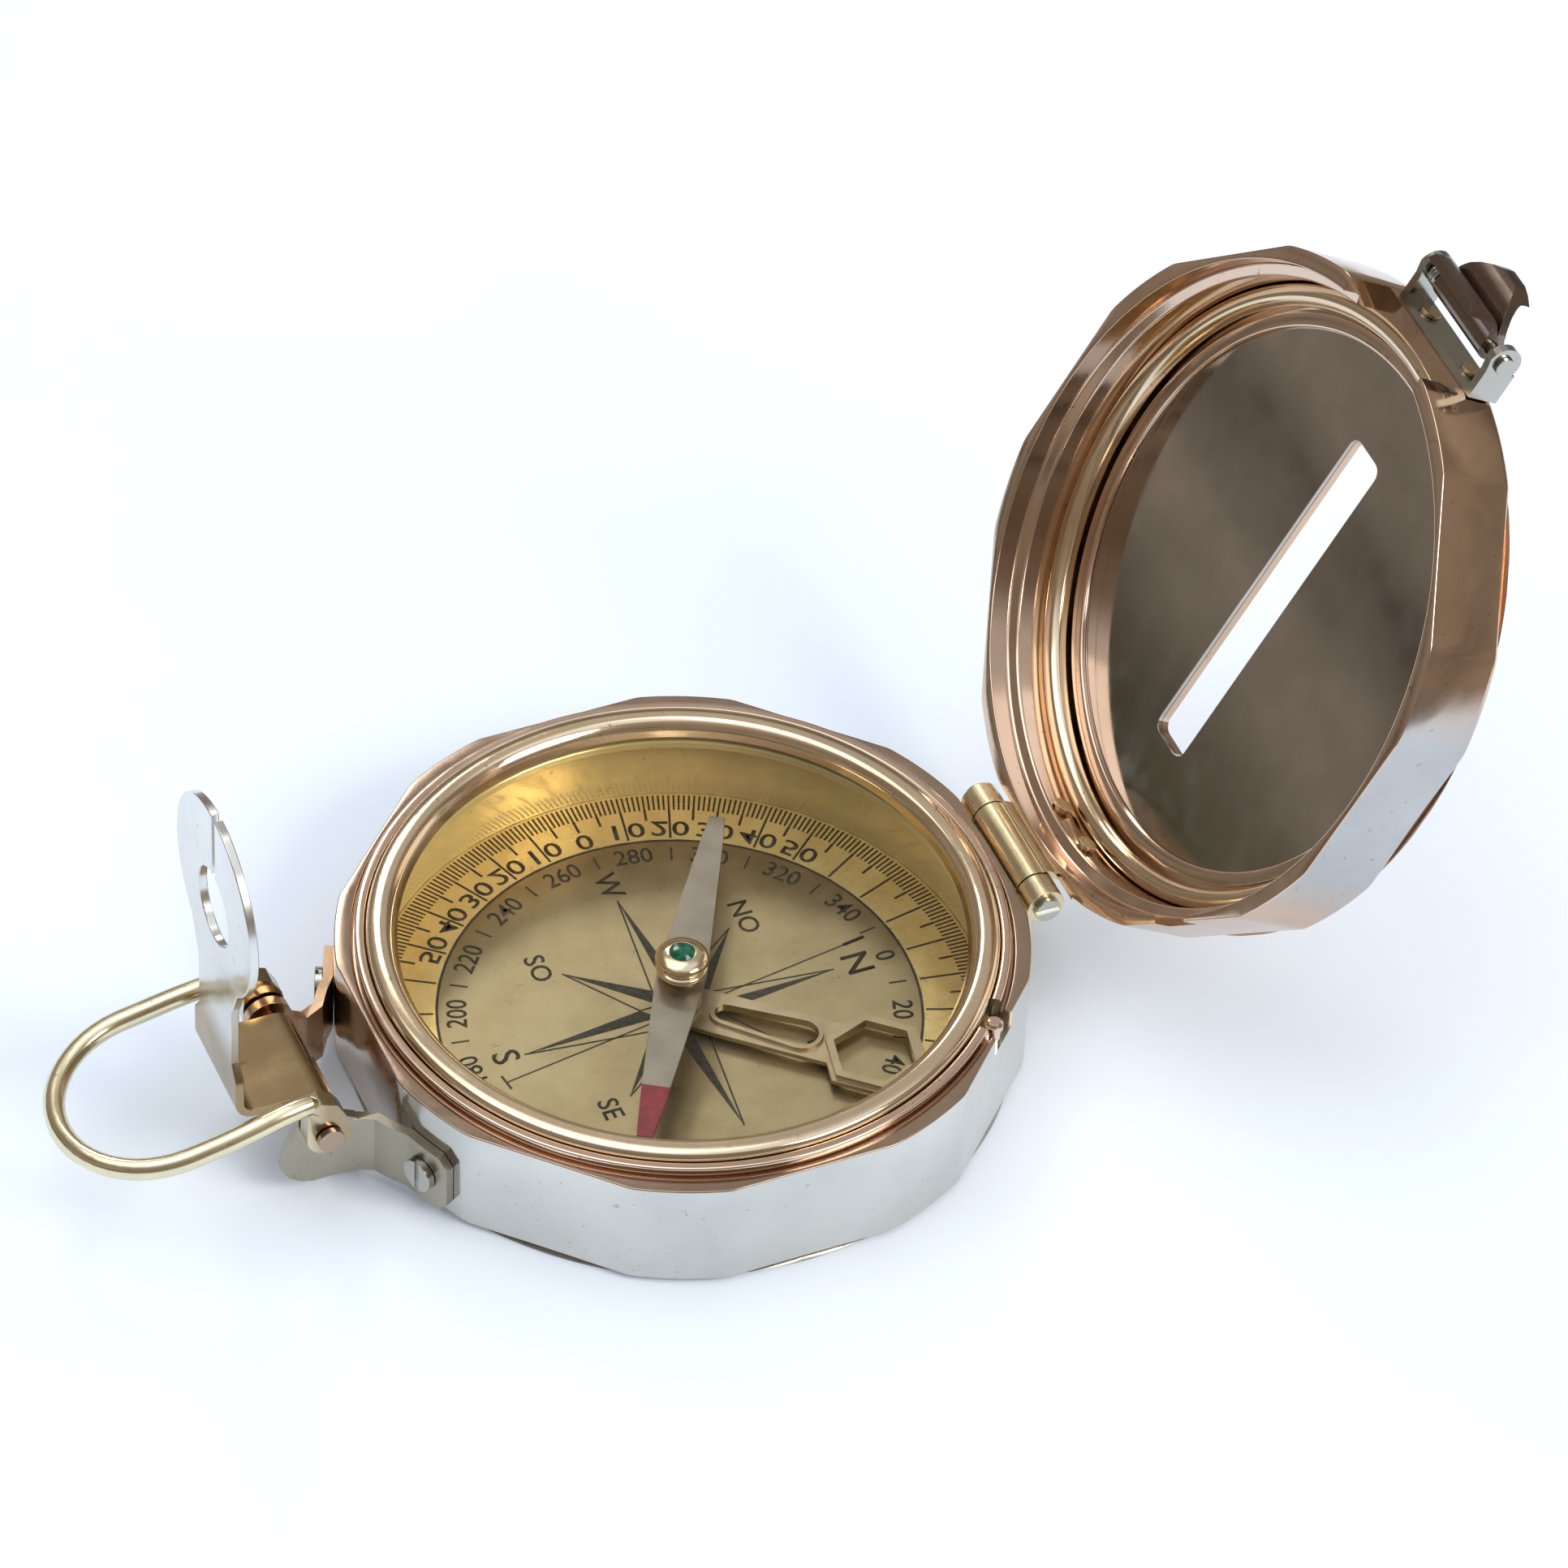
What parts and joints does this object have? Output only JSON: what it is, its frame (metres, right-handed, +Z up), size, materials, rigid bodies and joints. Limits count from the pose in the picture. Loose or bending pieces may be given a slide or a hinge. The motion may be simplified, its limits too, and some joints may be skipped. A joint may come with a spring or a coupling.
{
  "type": "sighting compass",
  "caption": "Round brass pocket compass with a mirrored hinged lid, a fold-down sight, a wire finger loop, a needle and a clinometer arm under glass.",
  "frame": {"origin": "centre of the case's flat underside", "axes": "+X from the sight and finger loop to the lid hinge, +Y to the back, +Z up along the needle's pivot; the lid is stored open at 120.6 degrees from shut"},
  "size_m": [0.167, 0.0736, 0.0847],
  "materials": {
    "polished_brass": "polished",
    "rose_brass": "polished, reddish",
    "dial_brass": "satin, engraved",
    "scale_brass": "satin, engraved",
    "needle_steel": "satin",
    "spring_steel": "bright",
    "needle_red": "painted",
    "jewel": "green, polished",
    "mirror": "mirror",
    "window_glass": "clear"
  },
  "bodies": {
    "case": {"case_shell": "rose_brass", "dial_plate": "dial_brass", "scale_ring": "scale_brass", "pivot_post": "polished_brass", "arm_collar": "polished_brass", "glass_seat": "polished_brass", "glass": "window_glass", "bezel_ring": "polished_brass", "base_hinge_leaf": "polished_brass", "hinge_pin": "polished_brass", "hinge_screw_1": "polished_brass", "hinge_screw_2": "polished_brass", "bracket_strap": "polished_brass", "strap_screw_1": "polished_brass", "strap_screw_2": "polished_brass", "sight_axle": "polished_brass"},
    "lid": {"lid_shell": "rose_brass", "lid_ring": "polished_brass", "mirror_frame": "rose_brass", "mirror": "mirror", "lid_hinge_leaf": "polished_brass", "lid_rivet_1": "polished_brass", "lid_rivet_2": "polished_brass", "latch_bracket": "polished_brass", "latch_rivet_1": "polished_brass", "latch_rivet_2": "polished_brass", "latch_pin": "polished_brass", "latch_spring": "spring_steel"},
    "latch": {"latch_lever": "polished_brass"},
    "sight": {"sight_vane": "polished_brass"},
    "loop": {"finger_loop": "polished_brass"},
    "needle": {"needle_blade": "needle_steel", "needle_tip": "needle_red", "needle_cap": "polished_brass", "needle_jewel": "jewel"},
    "clinometer": {"clinometer_arm": "dial_brass"},
    "lifter": {"lifter_pin": "rose_brass"}
  },
  "joints": [
    {"name": "lid_hinge", "type": "hinge", "parent": "case", "child": "lid", "pos_m": [0.0393, 0, 0.0137], "axis": [0, 1, 0], "range_deg": [-120.6, 14]},
    {"name": "latch_hinge", "type": "hinge", "parent": "lid", "child": "latch", "pos_m": [0.08814, -0.0016, 0.0788], "axis": [0, 1, 0], "range_deg": [0, 30], "stiffness_Nm_per_rad": 0.02},
    {"name": "sight_hinge", "type": "hinge", "parent": "case", "child": "sight", "pos_m": [-0.0453, 0, 0.0108], "axis": [0, 1, 0], "range_deg": [0, 90]},
    {"name": "loop_hinge", "type": "hinge", "parent": "case", "child": "loop", "pos_m": [-0.0453, 0, 0.0108], "axis": [0, 1, 0], "range_deg": [-75, 60]},
    {"name": "needle_turn", "type": "hinge", "parent": "case", "child": "needle", "pos_m": [0, 0, 0.0082], "axis": [0, 0, 1], "continuous": true},
    {"name": "clinometer_turn", "type": "hinge", "parent": "case", "child": "clinometer", "pos_m": [0, 0, 0.0036], "axis": [0, 0, 1], "continuous": true},
    {"name": "lifter_slide", "type": "slide", "parent": "case", "child": "lifter", "axis": [0, 0, 1], "range_m": [-0.0015, 0], "stiffness_N_per_m": 200}
  ]
}
